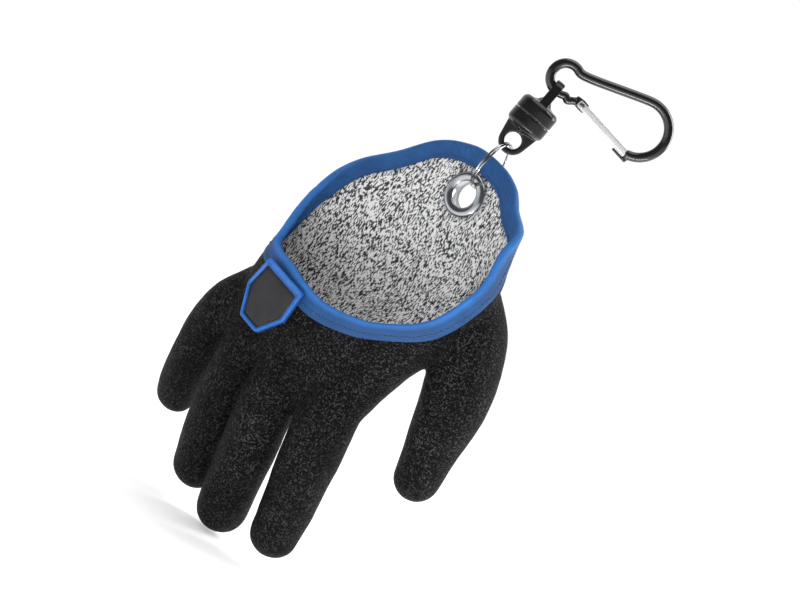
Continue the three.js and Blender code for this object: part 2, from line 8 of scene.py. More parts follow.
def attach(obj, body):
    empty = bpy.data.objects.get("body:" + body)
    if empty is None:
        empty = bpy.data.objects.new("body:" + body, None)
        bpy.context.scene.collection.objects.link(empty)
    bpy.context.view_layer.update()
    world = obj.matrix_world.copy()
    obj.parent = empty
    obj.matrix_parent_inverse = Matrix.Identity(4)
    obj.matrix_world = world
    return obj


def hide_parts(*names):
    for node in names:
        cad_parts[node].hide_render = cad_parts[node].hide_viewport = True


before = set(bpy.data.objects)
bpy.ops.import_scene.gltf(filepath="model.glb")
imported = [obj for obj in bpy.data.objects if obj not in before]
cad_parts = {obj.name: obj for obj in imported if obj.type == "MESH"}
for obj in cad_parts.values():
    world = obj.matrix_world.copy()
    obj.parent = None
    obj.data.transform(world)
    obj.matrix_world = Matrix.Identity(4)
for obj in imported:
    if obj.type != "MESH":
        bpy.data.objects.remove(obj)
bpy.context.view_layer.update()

MM = 0.001
PI = math.pi

# Driving sizes in millimetres, as in the part apart from the tape and the label's top strip
palm = {"width": 111, "depth": 50, "length": 98, "fullness": 2.25, "web_start": 0.55, "web_tilt": 0.17}
finger = {"reach": 175, "girth": 27, "flatness": 0.96}
hem = {"tongue": 51, "scoop": 47}
cloth = {"latex": 1.0, "knit": 1.0, "gap": 0.3}
tape = {"thickness": 0.8, "outside": 8.1, "inside": 8.0, "gap": 0.15, "fold": 1.6}
label = {"width": 31, "height": 30, "base": 0.9, "gap": 0.3, "field": 0.6, "raised": 0.6, "rim": 2.0,
         "top_rim": 3.4, "corner": 1.3, "inner_corner": 1.2}
eyelet = {"bore": 6.6, "tube": 0.8, "flange": 11.4, "crown": 1.7, "lip": 0.9, "washer": 1.0, "gap": 0.3}
ring = {"radius": 13.4, "wire": 1.05, "coil_gap": 0.25, "slack": 1.15}
clip = {"radius": 10, "half": 7.4, "shoulder": 1.6, "seam": 0.3, "ear_width": 17.6}
lower_ear = {"hole": 4.1, "end": 7.0, "reach": 14.2, "plate": 4.2}
upper_ear = {"hole": 3.1, "end": 5.2, "reach": 16.2, "plate": 4.6}
hook = {"wire": 4.4, "bow": 13.7, "eye": 7.3, "span": 42, "rise": 4.8, "gap": 0.6}
gate = {"wire": 3.6, "ahead": 14.2, "above": 2.6, "tongue": 1.4, "pin": 0.8}
grommet_at = {"turn": 88, "height": 30}
chain = {"yaw": 28, "lean": 7.5, "ring_yaw": -17.6}
label_at = {"turn": -111, "drop": 18, "tilt": -8}
wall = cloth["latex"] + cloth["gap"] + cloth["knit"]

# Stitches, and how finely each skin is remeshed, smoothed and swollen again
stitch = {"pitch": 2.1, "length": 1.25, "thick": 0.62, "dive": 0.16, "from_edge": 2.6, "from_inner": 1.2}
glove_skin = {"voxel": 1.15, "smoothing": 14, "swell": 0.3}
clip_skin = {"voxel": 0.28, "smoothing": 6, "swell": 0.05}
hook_skin = {"voxel": 0.28, "smoothing": 14, "swell": 0.10}

# The photograph's frame and view. origin_at is the pixel in which the row's origin lies
photo = {"width": 800, "height": 600}
view = {"azimuth": 28, "elevation": 7, "roll": 33, "lens": 100, "sensor": 36, "mm_per_pixel": 0.47,
        "origin_at": (407, 236)}
floor_height = -177.5


def columns(names, rows):
    """A table as one array for each named column."""
    return dict(zip(names, np.array(rows, float).T))


# Cross sections of the palm: level is a share of palm length, middle and across of its width,
# forward and thick of its depth, twist in degrees
palm_sections = columns(("level", "middle", "across", "forward", "thick", "twist"), [
    (-1.00, -0.17, 0.28, 0.03, 0.07, 0),
    (-0.96, -0.17, 0.38, 0.03, 0.18, 0),
    (-0.88, -0.165, 0.435, 0.03, 0.27, 0),
    (-0.72, -0.128, 0.430, 0.02, 0.36, 0),
    (-0.52, -0.085, 0.455, 0.01, 0.42, 0),
    (-0.30, -0.025, 0.4865, 0.00, 0.47, 0),
    (0.00, -0.004, 0.503, 0.00, 0.50, 0),
    (0.25, -0.020, 0.475, 0.00, 0.50, -5),
    (0.70, -0.010, 0.450, 0.00, 0.50, -10),
])

# Height of the hem round the opening: turn 0 is the thumb side, 90 the palm, 270 the back
hem_rises = columns(("turn", "rise"), [
    (-102, -0.965), (-90, -1.00), (-69, -0.92), (-52, -0.75), (-35, -0.52), (-28, -0.34), (-21, -0.11),
    (-14, 0.11), (-6, 0.30), (4, 0.46), (22, 0.59), (50, 0.72), (65, 0.885), (80, 0.97), (94, 1.00),
    (108, 0.945), (120, 0.84), (138, 0.54), (158, 0.28), (176, -0.07), (194, -0.53), (206, -0.79),
    (222, -0.855), (241, -0.89), (258, -0.965), (270, -1.00), (291, -0.92),
])

# Centre lines of the fingers: across is a share of palm width, forward of palm depth, down of
# finger reach and girth of finger girth
finger_columns = ("across", "forward", "down", "girth")
fingers = {
    "index": [(0.110, 0.00, 0.31, 0.85), (0.163, -0.02, 0.54, 1.10), (0.181, 0.08, 0.70, 1.03),
              (0.179, 0.24, 0.83, 0.93), (0.174, 0.31, 0.888, 0.88)],
    "middle": [(-0.100, 0.00, 0.31, 0.85), (-0.124, -0.05, 0.54, 1.04), (-0.110, 0.04, 0.70, 1.02),
               (-0.124, 0.27, 0.87, 0.97), (-0.134, 0.38, 0.935, 0.92)],
    "ring": [(-0.290, 0.00, 0.31, 0.80), (-0.350, -0.01, 0.53, 0.96), (-0.366, 0.15, 0.71, 0.94),
             (-0.378, 0.37, 0.85, 0.88), (-0.379, 0.45, 0.895, 0.85)],
    "little": [(-0.405, 0.02, 0.27, 0.66), (-0.592, 0.08, 0.475, 0.90), (-0.640, 0.24, 0.63, 0.87),
               (-0.672, 0.42, 0.735, 0.81), (-0.681, 0.49, 0.767, 0.78)],
    "thumb": [(0.280, 0.16, -0.02, 0.92), (0.455, 0.31, 0.140, 1.28), (0.540, 0.31, 0.285, 1.23),
              (0.560, 0.37, 0.42, 0.98), (0.566, 0.45, 0.53, 0.82)],
}


# Surfaces from the tables

def from_table(rows, by, column, at):
    """A smooth value through the rows of a table, without overshoot."""
    x, y = rows[by], rows[column]
    at = np.clip(at, x[0], x[-1])
    gradient = np.diff(y) / np.diff(x)
    slope = np.concatenate(([gradient[0]], np.zeros(len(x) - 2), [gradient[-1]]))
    before, after = gradient[:-1], gradient[1:]
    same = before * after > 0
    slope[1:-1][same] = 2 * before[same] * after[same] / (before[same] + after[same])
    low = np.clip(np.searchsorted(x, at) - 1, 0, len(x) - 2)
    step = x[low + 1] - x[low]
    t = (at - x[low]) / step
    ease = t * t * (3 - 2 * t)
    bend = slope[low] * step * t * (1 - t) ** 2 - slope[low + 1] * step * t * t * (1 - t)
    return y[low] * (1 - ease) + y[low + 1] * ease + bend


def hem_height(turn):
    wrapped = -90 + np.mod(np.asarray(turn, float) + 90, 360)
    rise = from_table(hem_rises, "turn", "rise", wrapped)
    return np.where(rise > 0, rise * hem["tongue"], rise * hem["scoop"])


def palm_section_at(level):
    """Every column of the palm's sections at a level."""
    names = [name for name in palm_sections if name != "level"]
    return {name: from_table(palm_sections, "level", name, level) for name in names}


def palm_point(turn, height, inset):
    """A point of the palm's surface, moved inwards by inset."""
    given = (np.asarray(value, float) for value in (turn, height, inset))
    turn, height, inset = np.broadcast_arrays(*given)
    level = height / palm["length"]
    value = palm_section_at(level)
    half_width = value["across"] * palm["width"]
    half_depth = value["thick"] * palm["depth"]
    twist = np.radians(value["twist"])
    c, s = np.cos(np.radians(turn)), np.sin(np.radians(turn))
    across = np.sign(c) * np.abs(c) ** (2 / palm["fullness"])
    along = np.sign(s) * np.abs(s) ** (2 / palm["fullness"])
    nx = np.sign(across) * np.abs(across) ** (palm["fullness"] - 1) / half_width
    ny = np.sign(along) * np.abs(along) ** (palm["fullness"] - 1) / half_depth
    length = np.hypot(nx, ny)
    x = half_width * across - inset * nx / length
    y = half_depth * along - inset * ny / length
    near_webs = np.maximum(0, (-level - palm["web_start"]) / (1 - palm["web_start"]))
    return np.stack([
        value["middle"] * palm["width"] + x * np.cos(twist) - y * np.sin(twist),
        value["forward"] * palm["depth"] + x * np.sin(twist) + y * np.cos(twist),
        height - palm["web_tilt"] * near_webs * x,
    ], -1)


def unit(v):
    return v / np.maximum(np.linalg.norm(v, axis=-1, keepdims=True), 1e-12)


def palm_normal(turn, height):
    return unit(palm_point(turn, height, 0) - palm_point(turn, height, 1))


def palm_place(points):
    """The turn round the palm of points near its surface, and their share of the way out to it."""
    level = points[:, 2] / palm["length"]
    value = palm_section_at(level)
    twist = np.radians(value["twist"])
    x = points[:, 0] - value["middle"] * palm["width"]
    y = points[:, 1] - value["forward"] * palm["depth"]
    a = (x * np.cos(twist) + y * np.sin(twist)) / (value["across"] * palm["width"])
    b = (y * np.cos(twist) - x * np.sin(twist)) / (value["thick"] * palm["depth"])
    power = palm["fullness"] / 2
    turn = np.degrees(np.arctan2(np.sign(b) * np.abs(b) ** power, np.sign(a) * np.abs(a) ** power))
    share = (np.abs(a) ** palm["fullness"] + np.abs(b) ** palm["fullness"]) ** (1 / palm["fullness"])
    return turn, share


# The hem line unrolled into a plane of distance round the opening and height
unrolled_turns = np.arange(-90, 271.0)
around = palm_point(unrolled_turns, 0, 0)
unrolled_lengths = np.concatenate(([0], np.cumsum(np.linalg.norm(np.diff(around, axis=0), axis=1))))
girth = unrolled_lengths[-1]
hem_line = np.stack([unrolled_lengths, hem_height(unrolled_turns)], -1)
hem_runs = np.concatenate(([0], np.cumsum(np.linalg.norm(np.diff(hem_line, axis=0), axis=1))))
hem_total = hem_runs[-1]


def length_at(turn):
    return np.interp(-90 + np.mod(turn + 90, 360), unrolled_turns, unrolled_lengths)


def hem_point(run, depth, inset):
    """A point in from the hem by depth, square to its edge. run is the distance along the hem."""
    run, depth, inset = np.broadcast_arrays(*(np.asarray(value, float) for value in (run, depth, inset)))
    half_chord = 5

    def on_line(distance):
        laps = np.floor(distance / hem_total)
        left = distance - laps * hem_total
        return np.stack([np.interp(left, hem_runs, hem_line[:, 0]) + laps * girth,
                         np.interp(left, hem_runs, hem_line[:, 1])], -1)

    edge = unit(on_line(run + half_chord) - on_line(run - half_chord))
    at = on_line(run)
    x = at[..., 0] + edge[..., 1] * depth
    y = at[..., 1] - edge[..., 0] * depth
    turn = np.interp(np.mod(x, girth), unrolled_lengths, unrolled_turns)
    return palm_point(turn, y, inset)


# Meshes

def make_object(name, points, faces):
    """A smooth mesh object from points in millimetres."""
    mesh = bpy.data.meshes.new(name)
    mesh.from_pydata((np.asarray(points, float) * MM).tolist(), [], [list(map(int, face)) for face in faces])
    mesh.update()
    mesh.polygons.foreach_set("use_smooth", [True] * len(mesh.polygons))
    obj = bpy.data.objects.new(name, mesh)
    bpy.context.collection.objects.link(obj)
    return obj


def set_uv(mesh, uv, wrap):
    """A UV map from one pair for each point. A face that crosses the wrap is kept in one piece."""
    layer = mesh.uv_layers.new(name="UVMap")
    loops = np.zeros(len(mesh.loops), int)
    mesh.loops.foreach_get("vertex_index", loops)
    values = uv[loops].copy()
    totals = np.zeros(len(mesh.polygons), int)
    mesh.polygons.foreach_get("loop_total", totals)
    owner = np.repeat(np.arange(len(totals)), totals)
    highest = np.full(len(totals), -np.inf)
    np.maximum.at(highest, owner, values[:, 0])
    behind = highest[owner] - values[:, 0] > wrap / 2
    values[behind, 0] += wrap
    layer.data.foreach_set("uv", values.astype(np.float32).ravel())


def grid_faces(rows, count, closed_rows=False):
    """Quads over rows of points, each row a closed loop of count points."""
    faces = []
    for row in range(rows if closed_rows else rows - 1):
        a, b = row * count, (row + 1) % rows * count
        faces += [(a + k, a + (k + 1) % count, b + (k + 1) % count, b + k) for k in range(count)]
    return faces


def lofted(rings, first, last):
    """Points and faces through rings, closed at the ends by poles."""
    rings = np.asarray(rings)
    rows, count = rings.shape[:2]
    pole, last_row = rows * count, (rows - 1) * count
    pairs = [(k, (k + 1) % count) for k in range(count)]
    faces = grid_faces(rows, count)
    faces += [(pole, b, a) for a, b in pairs]
    faces += [(pole + 1, last_row + a, last_row + b) for a, b in pairs]
    return np.vstack([rings.reshape(-1, 3), first, last]), faces


def placed(form, axes, origin=(0, 0, 0)):
    """Points along a set of axes moved into the frame that the axes are given in."""
    points, faces = form
    return np.asarray(points, float) @ axes + origin, faces


def merged(parts):
    """Several pairs of points and faces as one."""
    points, faces, start = [], [], 0
    for p, f in parts:
        points.append(np.asarray(p, float))
        faces += [tuple(i + start for i in face) for face in f]
        start += len(p)
    return np.concatenate(points), faces


def outwards(points, faces):
    """The same faces, turned so that they look out of the closed form."""
    points = np.asarray(points, float)
    volume = 0
    for face in faces:
        a = points[face[0]]
        for k in range(1, len(face) - 1):
            volume += np.dot(a, np.cross(points[face[k]], points[face[k + 1]]))
    return (points, faces) if volume > 0 else (points, [tuple(reversed(face)) for face in faces])


def remeshed(name, parts, skin):
    """One skin round several closed forms, smoothed and then swollen by a little."""
    obj = make_object(name, *merged([outwards(*part) for part in parts]))
    remesh = obj.modifiers.new("skin", "REMESH")
    remesh.mode = "VOXEL"
    remesh.voxel_size = skin["voxel"] * MM
    soften = obj.modifiers.new("soften", "SMOOTH")
    soften.factor = 0.5
    soften.iterations = skin["smoothing"]
    apply_modifiers(obj)
    move_points(obj, vertex_normals(obj) * skin["swell"])
    obj.data.polygons.foreach_set("use_smooth", [True] * len(obj.data.polygons))
    return obj


def apply_modifiers(obj):
    graph = bpy.context.evaluated_depsgraph_get()
    mesh = bpy.data.meshes.new_from_object(obj.evaluated_get(graph))
    obj.modifiers.clear()
    old = obj.data
    obj.data = mesh
    bpy.data.meshes.remove(old)


def read_vectors(items, attribute):
    values = np.zeros(len(items) * 3)
    items.foreach_get(attribute, values)
    return values.reshape(-1, 3)


def vertex_points(obj):
    return read_vectors(obj.data.vertices, "co") / MM


def vertex_normals(obj):
    return read_vectors(obj.data.vertex_normals, "vector")


def move_points(obj, shift):
    obj.data.vertices.foreach_set("co", ((vertex_points(obj) + shift) * MM).ravel())
    obj.data.update()


def keep_faces(obj, keep):
    """Deletes the faces whose entry in keep is False, and the points that are left alone."""
    mesh = obj.data
    points = vertex_points(obj)
    faces = [tuple(face.vertices) for face, kept in zip(mesh.polygons, keep) if kept]
    used = sorted({i for face in faces for i in face})
    place = {old: new for new, old in enumerate(used)}
    fresh = bpy.data.meshes.new(obj.name)
    fresh.from_pydata((points[used] * MM).tolist(), [], [[place[i] for i in face] for face in faces])
    fresh.update()
    fresh.polygons.foreach_set("use_smooth", [True] * len(fresh.polygons))
    obj.data = fresh
    bpy.data.meshes.remove(mesh)


def swept(path, radius, sides):
    """A round wire along a path, with a frame carried along it and blunt ends."""
    path = np.asarray(path, float)
    tangent = unit(np.gradient(path, axis=0))
    side = np.cross(tangent[0], (0.0, 1.0, 0.0))
    if np.linalg.norm(side) < 1e-3:
        side = np.cross(tangent[0], (1.0, 0.0, 0.0))
    radii = np.broadcast_to(radius, len(path))
    angles = np.linspace(0, 2 * PI, sides, endpoint=False)
    rings = []
    for point, along, r in zip(path, tangent, radii):
        side = unit(side - along * np.dot(side, along))
        up = np.cross(along, side)
        rings.append(point + r * (np.cos(angles)[:, None] * side + np.sin(angles)[:, None] * up))
    blunt = 0.3
    return lofted(rings, path[0] - tangent[0] * radii[0] * blunt, path[-1] + tangent[-1] * radii[-1] * blunt)


def turned(profile, segments):
    """A lathe form from a closed profile of radius and height, round the Y axis."""
    radius, height = np.asarray(profile, float).T
    angles = np.linspace(0, 2 * PI, segments, endpoint=False)
    rings = [np.stack([radius * math.cos(a), height, radius * math.sin(a)], -1) for a in angles]
    return outwards(np.concatenate(rings), grid_faces(segments, len(radius), closed_rows=True))


def softened(profile, radius, steps=4):
    """A closed profile with its corners rounded."""
    profile = np.asarray(profile, float)
    out = []
    for before, corner, after in zip(np.roll(profile, 1, 0), profile, np.roll(profile, -1, 0)):
        a, b = before - corner, after - corner
        cut = min(radius, 0.45 * np.linalg.norm(a), 0.45 * np.linalg.norm(b))
        start, end = corner + unit(a) * cut, corner + unit(b) * cut
        for t in np.linspace(0, 1, steps + 1):
            out.append((1 - t) ** 2 * start + 2 * t * (1 - t) * corner + t * t * end)
    return np.array(out)


# Materials

def new_material(name, color, roughness, metallic=0.0, **settings):
    material = bpy.data.materials.new(name)
    material.use_nodes = True
    shader = material.node_tree.nodes["Principled BSDF"]
    shader.inputs["Base Color"].default_value = (*color, 1)
    shader.inputs["Roughness"].default_value = roughness
    shader.inputs["Metallic"].default_value = metallic
    for socket, value in settings.items():
        shader.inputs[socket.replace("_", " ")].default_value = value
    return material


class Nodes:
    """Short calls for one material's node tree."""

    def __init__(self, material):
        self.tree = material.node_tree
        self.shader = self.tree.nodes["Principled BSDF"]

    def add(self, kind, inputs=None, **settings):
        node = self.tree.nodes.new(kind)
        for key, value in settings.items():
            setattr(node, key, value)
        for key, value in (inputs or {}).items():
            self.feed(node.inputs[key], value)
        return node

    def feed(self, socket, value):
        if isinstance(value, bpy.types.NodeSocket):
            self.tree.links.new(value, socket)
        else:
            socket.default_value = value

    def math(self, operation, a, b=0.0):
        return self.add("ShaderNodeMath", {0: a, 1: b}, operation=operation).outputs[0]

    def plus(self, a, b):
        return self.math("ADD", a, b)

    def minus(self, a, b):
        return self.math("SUBTRACT", a, b)

    def times(self, a, b):
        return self.math("MULTIPLY", a, b)

    def plane(self, x, y):
        return self.add("ShaderNodeCombineXYZ", {0: x, 1: y}).outputs[0]

    def place(self):
        return self.add("ShaderNodeTexCoord").outputs["Object"]

    def uv(self):
        split = self.add("ShaderNodeSeparateXYZ", {0: self.add("ShaderNodeTexCoord").outputs["UV"]})
        return split.outputs[0], split.outputs[1]

    def grain(self, scale, detail=2.0, roughness=0.5, distortion=0.0, vector=None):
        node = self.add("ShaderNodeTexNoise", {
            "Vector": vector or self.place(), "Scale": scale, "Detail": detail,
            "Roughness": roughness, "Distortion": distortion,
        })
        return node.outputs["Fac"]

    def ramp(self, value, stops):
        node = self.add("ShaderNodeValToRGB", {0: value})
        elements = node.color_ramp.elements
        for k, (at, shade) in enumerate(stops):
            element = elements[k] if k < 2 else elements.new(at)
            element.position = at
            element.color = (*shade, 1) if isinstance(shade, tuple) else (shade, shade, shade, 1)
        return node.outputs[0]

    def mix(self, share, a, b, blend="MIX"):
        node = self.add("ShaderNodeMix", data_type="RGBA", blend_type=blend)
        self.feed(node.inputs[0], share)
        for socket, value in ((node.inputs[6], a), (node.inputs[7], b)):
            self.feed(socket, (*value, 1) if isinstance(value, tuple) else value)
        return node.outputs[2]

    def bump(self, height, distance, strength=1.0, normal=None):
        inputs = {"Height": height, "Distance": distance * MM, "Strength": strength}
        if normal is not None:
            inputs["Normal"] = normal
        return self.add("ShaderNodeBump", inputs).outputs[0]

    def finish(self, color=None, roughness=None, normal=None):
        for key, value in (("Base Color", color), ("Roughness", roughness), ("Normal", normal)):
            if value is not None:
                self.feed(self.shader.inputs[key], value)


def latex_material():
    """Crinkled coating: small domes with warped edges, folds among them and a fine grit. Its colour carries
    painted shade in the low valleys and a painted highlight on the highest dome tops.
    """
    material = new_material("crinkled_latex", (0.01, 0.01, 0.011), 0.62, Specular_IOR_Level=0.07)
    n = Nodes(material)
    warp = n.add("ShaderNodeTexNoise", {"Vector": n.place(), "Scale": 1100.0, "Detail": 2.0})
    pushed = n.add("ShaderNodeVectorMath", {0: warp.outputs["Color"]}, operation="SCALE")
    pushed.inputs["Scale"].default_value = 0.0011
    warped = n.add("ShaderNodeVectorMath", {0: n.place(), 1: pushed.outputs[0]}, operation="ADD")
    domed = {"Vector": warped.outputs[0], "Scale": 1250.0}
    cells = n.add("ShaderNodeTexVoronoi", domed, feature="SMOOTH_F1")
    domes = n.minus(1.0, cells.outputs["Distance"])
    folds = n.grain(760, 3.0, 0.6, 0.8)
    height = n.plus(n.times(domes, 0.7), n.times(folds, 0.9))
    # painted shade and painted highlight: the colour runs from near black in the valleys to lighter on the
    # dome tops
    shade = n.ramp(height, [
        (0.70, (0.0005, 0.0005, 0.0006)),
        (0.90, (0.002, 0.002, 0.0022)),
        (1.00, (0.026, 0.026, 0.028)),
    ])
    clouds = n.ramp(n.grain(60, 2.0), [(0.3, 0.6), (0.7, 1.4)])
    grit = n.grain(2100, 2.0)
    rough = n.ramp(grit, [(0.35, 0.75), (0.65, 0.45)])
    n.finish(n.mix(1.0, shade, clouds, "MULTIPLY"), rough, n.bump(height, 1.1, 1.0, n.bump(grit, 0.06, 0.6)))
    return material


def knit_material():
    """Melange knit: two legs for each stitch, dark yarn in flecks along the hand, and painted shade where
    the yarn lies low between the legs and rows.
    """
    wale, course, slant = 1.1, 0.95, 0.85
    material = new_material("melange_knit", (0.45, 0.45, 0.44), 0.9, Specular_IOR_Level=0.08)
    n = Nodes(material)
    u, v = n.uv()
    column = n.math("DIVIDE", u, wale)
    legs = n.times(column, 2.0)
    side = n.math("FLOOR", legs)
    from_middle = n.math("ABSOLUTE", n.minus(n.times(n.math("FRACT", column), 2.0), 1.0))
    row = n.plus(n.math("DIVIDE", v, course), n.times(from_middle, slant))

    cell = n.plane(side, n.math("FLOOR", row))
    random = n.add("ShaderNodeTexWhiteNoise", {"Vector": cell}, noise_dimensions="2D").outputs["Value"]
    yarn = n.grain(1.0, 1.0, vector=n.plane(n.times(side, 7.31), n.times(row, 0.42)))
    fleck = n.ramp(n.plus(n.times(random, 0.42), yarn), [(0.70, 0.0), (0.76, 1.0)])

    across_leg = n.math("ABSOLUTE", n.minus(n.math("FRACT", legs), 0.5))
    ridge = n.minus(1.0, n.math("POWER", n.times(across_leg, 2.0), 2.2))
    crown = n.math("SINE", n.times(n.math("FRACT", row), PI))
    height = n.times(ridge, n.plus(n.times(crown, 0.6), 0.4))

    fuzz = n.grain(2200, 2.0)
    light = n.ramp(fuzz, [(0.3, 0.60), (0.7, 0.75)])
    dark = n.ramp(fuzz, [(0.3, (0.004, 0.004, 0.005)), (0.7, (0.014, 0.014, 0.015))])
    core = n.ramp(ridge, [(0.08, 0.0), (0.25, 1.0)])
    yarns = n.mix(n.times(fleck, core), light, dark)
    # painted shade: the colour is darkened where the stitch height is low, between the legs and the rows
    painted_crease_shade = n.ramp(height, [(0.02, 0.60), (0.30, 1.0)])
    color = n.mix(1.0, yarns, painted_crease_shade, "MULTIPLY")
    n.finish(color, None, n.bump(height, 0.35, 0.8, n.bump(fuzz, 0.08, 0.5)))
    return material


def tape_material():
    """Blue twill: fine diagonal ribs with painted shade in their grooves, a painted highlight over the fold
    and painted shade on the outer and inner faces, with slanted wrinkles on the inside.
    """
    material = new_material("blue_twill", (0.012, 0.10, 0.40), 0.65, Specular_IOR_Level=0.3)
    n = Nodes(material)
    u, v = n.uv()
    rib = n.math("SINE", n.times(n.plus(n.times(u, 1.35), n.times(v, 1.05)), 2 * PI))
    weft = n.math("SINE", n.times(n.minus(u, v), 2 * PI * 2.1))
    height = n.plus(n.times(n.plus(n.times(rib, 0.5), n.times(weft, 0.22)), 0.5), 0.5)
    # painted shade: the colour is darker in the grooves between the ribs
    shade = n.ramp(height, [(0.1, (0.008, 0.060, 0.22)), (0.8, (0.022, 0.155, 0.47))])
    clouds = n.ramp(n.grain(90, 2.0), [(0.3, 0.85), (0.7, 1.15)])
    across = n.math("DIVIDE", v, tape["outside"] + tape["inside"] + PI * tape["fold"])
    # painted highlight over the fold and painted shade on the outer and inner faces
    faces = n.ramp(across, [(0.28, 0.36), (0.42, 0.90), (0.56, 0.70), (0.66, 0.46)])
    color = n.mix(1.0, n.mix(1.0, shade, clouds, "MULTIPLY"), faces, "MULTIPLY")
    slanted = n.plane(n.times(n.plus(u, v), 0.42), n.times(v, 0.16))
    wrinkle = n.times(n.grain(1.0, 2.0, vector=slanted), n.ramp(across, [(0.5, 0.25), (0.6, 1.0)]))
    n.finish(color, None, n.bump(height, 0.16, 1.0, n.bump(wrinkle, 2.2, 0.7)))
    return material


def thread_material():
    material = new_material("teal_thread", (0.01, 0.09, 0.20), 0.55)
    n = Nodes(material)
    fibre = n.grain(3500, 1.0)
    color = n.ramp(fibre, [(0.3, (0.003, 0.022, 0.055)), (0.7, (0.008, 0.055, 0.12))])
    n.finish(color, None, n.bump(fibre, 0.05, 0.5))
    return material


def rubber_material(name, dark, light, roughness):
    material = new_material(name, light, roughness, Specular_IOR_Level=0.3)
    n = Nodes(material)
    skin = n.grain(1800, 2.0)
    color = n.ramp(n.grain(140, 2.0), [(0.3, dark), (0.7, light)])
    rough = n.ramp(skin, [(0.3, roughness - 0.06), (0.7, roughness + 0.08)])
    n.finish(color, rough, n.bump(skin, 0.03, 0.5))
    return material


def scuffed_material(name, color, roughness, metallic, scuff_scale, scuffs, bump_scale, bump, **settings):
    """A smooth hard surface with scuffs in its gloss and a slight bump, given as distance and strength."""
    material = new_material(name, color, roughness, metallic, **settings)
    n = Nodes(material)
    scuff = n.ramp(n.grain(scuff_scale, 4.0, 0.7), scuffs)
    n.finish(None, scuff, n.bump(n.grain(bump_scale, 2.0), *bump))
    return material


looks = {
    "latex": latex_material(),
    "knit": knit_material(),
    "tape": tape_material(),
    "thread": thread_material(),
    "patch_rim": rubber_material("blue_rubber", (0.008, 0.070, 0.26), (0.014, 0.095, 0.34), 0.40),
    "patch_field": rubber_material("dark_grey_rubber", (0.012, 0.012, 0.013), (0.018, 0.018, 0.020), 0.6),
    "bright_steel": scuffed_material(
        "bright_steel", (0.36, 0.37, 0.385), 0.11, 1.0, 260, [(0.35, 0.11), (0.75, 0.25)], 2600,
        (0.004, 0.15)),
    "gate_metal": scuffed_material(
        "satin_steel", (0.50, 0.51, 0.52), 0.36, 0.6, 260, [(0.35, 0.36), (0.75, 0.50)], 2600,
        (0.004, 0.15)),
    "clip_plastic": scuffed_material(
        "gloss_black_plastic", (0.005, 0.005, 0.0055), 0.2, 0.0, 500, [(0.4, 0.14), (0.75, 0.30)], 300,
        (0.05, 0.25), Specular_IOR_Level=0.35),
    "black_metal": scuffed_material(
        "black_coated_metal", (0.006, 0.006, 0.007), 0.2, 0.35, 420, [(0.4, 0.18), (0.75, 0.34)], 300,
        (0.01, 0.1), Coat_Weight=0.6, Coat_Roughness=0.08),
}


def dress(obj, look, body, slot_name, *nodes):
    """Gives a piece its material and its body, and hides the imported nodes that it stands for."""
    obj.data.materials.clear()
    obj.data.materials.append(looks[look])
    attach(obj, body)
    if nodes:
        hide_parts(*nodes)


def add_piece(name, form, *dressing):
    dress(make_object(name, *form), *dressing)


# The glove and the grommet's seat in it

seat_normal = palm_normal(grommet_at["turn"], grommet_at["height"])
seat_middle = palm_point(grommet_at["turn"], grommet_at["height"], wall / 2)
seat_up = np.array([0.0, 0.0, 1.0])
seat_axes = np.stack([unit(np.cross(-seat_normal, seat_up)), -seat_normal, seat_up])
tube_radius = eyelet["bore"] + eyelet["tube"]


def palm_form():
    """The palm's outside, from above the hem down to the webs."""
    above_hem = 12
    turns = np.linspace(-180, 180, 150, endpoint=False)
    top = hem_height(turns) + above_hem
    bottom = -palm["length"]
    shares = np.concatenate([np.linspace(0, 0.9, 60), [0.92, 0.94, 0.96, 0.975, 0.985]])
    rings = [palm_point(turns, top + (bottom - top) * share, 0) for share in shares]
    middle = palm_sections["middle"][0] * palm["width"]
    return lofted(rings, rings[0].mean(0), np.array([middle, 0, bottom - palm["web_tilt"] * middle * 0.1]))


def curve_through(points, ts):
    """The same centripetal curve through the points as the part's."""
    points = np.asarray(points, float)
    n = len(points) - 1
    padded = np.vstack([2 * points[0] - points[1], points, 2 * points[-1] - points[-2]])
    out = []
    for t in ts:
        k = min(int(t * n), n - 1)
        w = t * n - k
        p0, p1, p2, p3 = padded[k:k + 4]
        d0, d1, d2 = (max(np.linalg.norm(b - a) ** 0.5, 1e-6) for a, b in ((p0, p1), (p1, p2), (p2, p3)))
        m1 = ((p1 - p0) / d0 - (p2 - p0) / (d0 + d1) + (p2 - p1) / d1) * d1
        m2 = ((p2 - p1) / d1 - (p3 - p1) / (d1 + d2) + (p3 - p2) / d2) * d1
        square = -3 * p1 + 3 * p2 - 2 * m1 - m2
        cube = 2 * p1 - 2 * p2 + m1 + m2
        out.append(p1 + m1 * w + square * w ** 2 + cube * w ** 3)
    return np.array(out)


def finger_form(rows):
    """A finger swept along its centre line, with a round tip."""
    stations, sides, tip_step = 45, 40, 8
    table = columns(finger_columns, rows)
    table["at"] = np.linspace(0, 1, len(rows))
    centre = np.stack([table["across"] * palm["width"], table["forward"] * palm["depth"],
                       -table["down"] * finger["reach"]], -1)
    shares = np.linspace(0, 1, stations)
    path = curve_through(centre, shares)
    tangent = unit(np.gradient(path, axis=0))
    radius = from_table(table, "at", "girth", shares) * finger["girth"] / 2
    angles = np.linspace(0, 2 * PI, sides, endpoint=False)

    def ring_at(k, ahead, swell):
        side = unit(np.cross(tangent[k], (0.0, 1.0, 0.0)))
        front = np.cross(side, tangent[k])
        middle = path[k] + tangent[k] * ahead * radius[k]
        outline = np.cos(angles)[:, None] * side + finger["flatness"] * np.sin(angles)[:, None] * front
        return middle + radius[k] * swell * outline

    rings = [ring_at(k, 0, 1) for k in range(stations)]
    rings += [ring_at(-1, math.sin(a), math.cos(a)) for a in np.radians(np.arange(tip_step, 88, tip_step))]
    return lofted(rings, path[0], ring_at(-1, 1, 0)[0])


